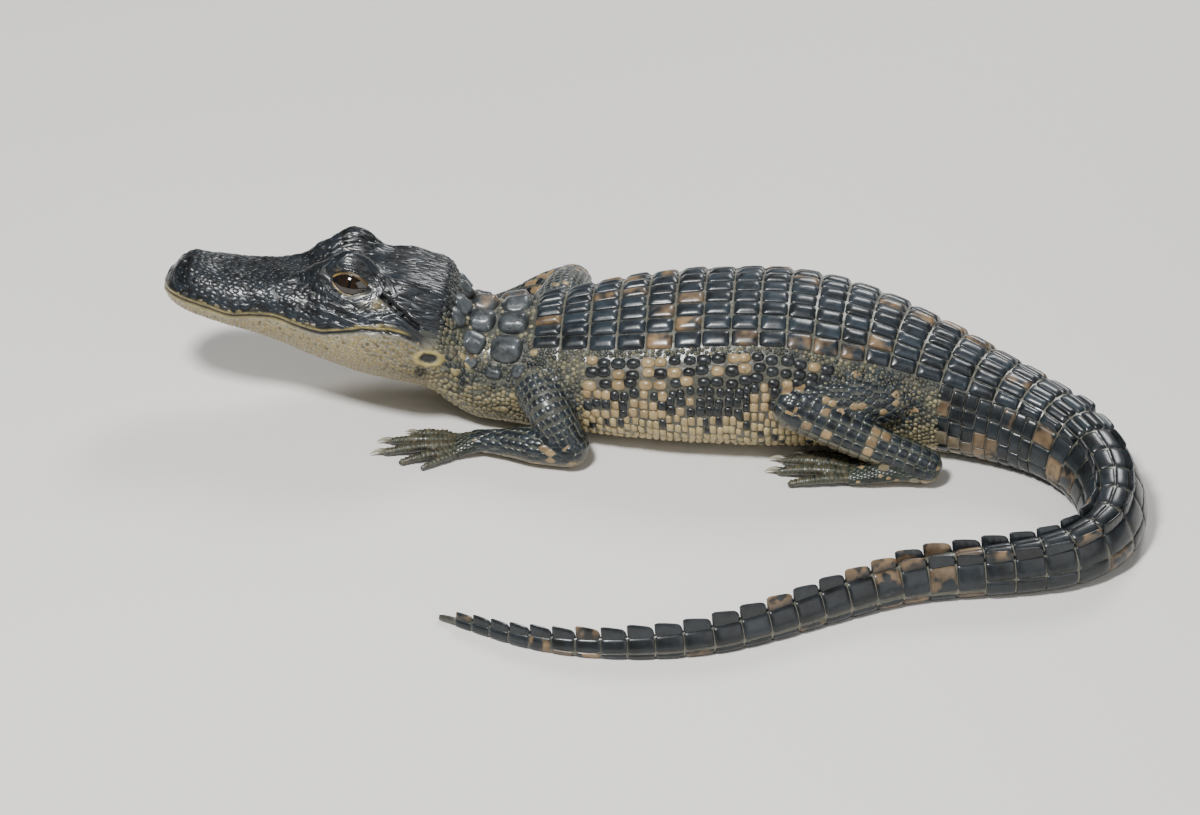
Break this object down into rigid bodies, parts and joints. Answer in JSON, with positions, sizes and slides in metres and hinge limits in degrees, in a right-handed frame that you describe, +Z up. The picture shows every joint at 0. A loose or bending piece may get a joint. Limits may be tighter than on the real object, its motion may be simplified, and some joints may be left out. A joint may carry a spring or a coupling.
{
  "type": "american alligator model",
  "caption": "Young American alligator lying on its belly, head raised, hind legs folded, tail curled round beside the body, with keeled back plates and a crested tail.",
  "frame": {"origin": "on the floor under the middle of the belly", "axes": "+Z up; +X towards the tail end, the head pointing along -X; +Y to the animal's right, so its left side faces -Y"},
  "size_m": [0.482, 0.3144, 0.0862],
  "materials": {
    "hide": "wet slate-black horn plates with pale grooves, tan flecks on the flank",
    "head_hide": "dark grey, smooth and faintly glossy, gold at the lip",
    "pale_hide": "yellow-grey jaw scales speckled darker",
    "foot_hide": "grey-green scaled toes with horn-coloured claws",
    "eye": "dark brown eye with an upright slit pupil, wet"
  },
  "bodies": {
    "root": {"eye_left": "eye", "eye_right": "eye", "fore_foot_left": "foot_hide", "fore_foot_right": "foot_hide", "forearm_left": "hide", "forearm_right": "hide", "head": "head_hide", "hind_foot_left": "foot_hide", "hind_foot_right": "foot_hide", "lower_jaw": "pale_hide", "neck": "hide", "shank_left": "hide", "shank_right": "hide", "tail_1": "hide", "tail_2": "hide", "tail_3": "hide", "tail_4": "hide", "tail_5": "hide", "thigh_left": "hide", "thigh_right": "hide", "torso": "hide", "upper_arm_left": "hide", "upper_arm_right": "hide"}
  },
  "joints": []
}
